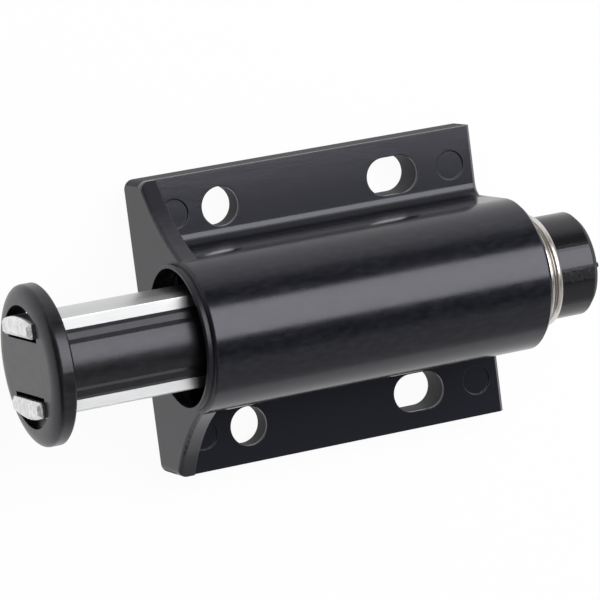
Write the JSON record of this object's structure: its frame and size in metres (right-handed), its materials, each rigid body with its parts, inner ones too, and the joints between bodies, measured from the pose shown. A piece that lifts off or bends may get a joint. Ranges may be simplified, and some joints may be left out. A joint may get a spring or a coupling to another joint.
{
  "type": "push to open catch",
  "caption": "Magnetic push-to-open catch: a sprung plunger with two steel poles slides in a round barrel on a flat screw flange.",
  "frame": {"origin": "on the flat mounting face, midway between the two round front screw holes", "axes": "+Z out of the mounting face through the barrel, +Y along the plunger from its head to its tail, X across the flange"},
  "size_m": [0.03, 0.0613, 0.0188],
  "materials": {
    "housing_plastic": "satin black moulded plastic",
    "plunger_plastic": "satin black moulded plastic",
    "pole_steel": "bright zinc-plated steel strip with sheared ends",
    "magnet_ferrite": "dark grey sintered ferrite",
    "spring_wire": "bright drawn spring wire",
    "cover_steel": "thin plain steel strip"
  },
  "bodies": {
    "housing": {"housing": "housing_plastic", "pin_cover": "cover_steel", "main_spring": "spring_wire"},
    "plunger": {"plunger": "plunger_plastic", "strike_head": "plunger_plastic", "pole_plate_left": "pole_steel", "pole_plate_right": "pole_steel", "magnet": "magnet_ferrite", "stop_ring": "spring_wire"},
    "index_pin": {"index_pin": "spring_wire"}
  },
  "joints": [
    {"name": "plunger_slide", "type": "slide", "parent": "housing", "child": "plunger", "axis": [0, 1, 0], "range_m": [0, 0.012], "stiffness_N_per_m": 420, "springref_m": -0.005, "deforming": ["main_spring"]},
    {"name": "index_pin_swing", "type": "hinge", "parent": "housing", "child": "index_pin", "pos_m": [0, 0.0175, 0], "axis": [0, 0, 1], "range_deg": [0, 7.89]}
  ],
  "couplings": [
    {"joint": "index_pin_swing", "follows": "plunger_slide", "rad_per_m": 11.399}
  ]
}
